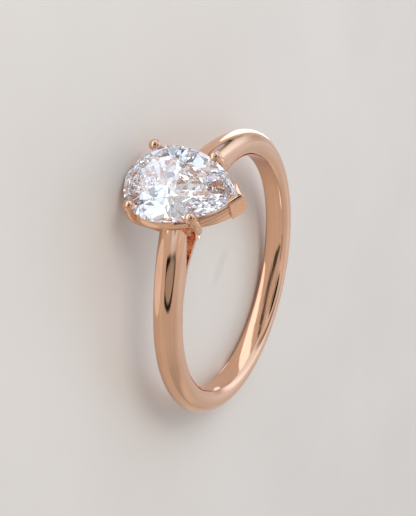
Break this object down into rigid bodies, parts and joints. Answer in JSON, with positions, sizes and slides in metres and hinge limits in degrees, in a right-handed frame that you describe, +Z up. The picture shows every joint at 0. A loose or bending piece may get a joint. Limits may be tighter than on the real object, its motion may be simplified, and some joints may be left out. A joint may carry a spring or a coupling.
{
  "type": "finger ring",
  "caption": "Cathedral engagement ring: a plain domed band rises to a raised head that holds a faceted pear stone in beaded claws and a V claw.",
  "frame": {"origin": "centre of the bounding box's bottom face, on the surface that the ring lies on", "axes": "+Y from the back of the band to the stone, the ring's longest extent; +Z up as the ring lies on its side, its shortest extent; the finger hole's axis leans back from +Z by the angle at which it rests"},
  "size_m": [0.0192, 0.0218, 0.0081],
  "materials": {
    "rose_gold": "polished rose gold",
    "stone": "clear cut stone, polished facets"
  },
  "bodies": {
    "root": {"ring_mount": "rose_gold", "pear_stone": "stone"}
  },
  "joints": []
}
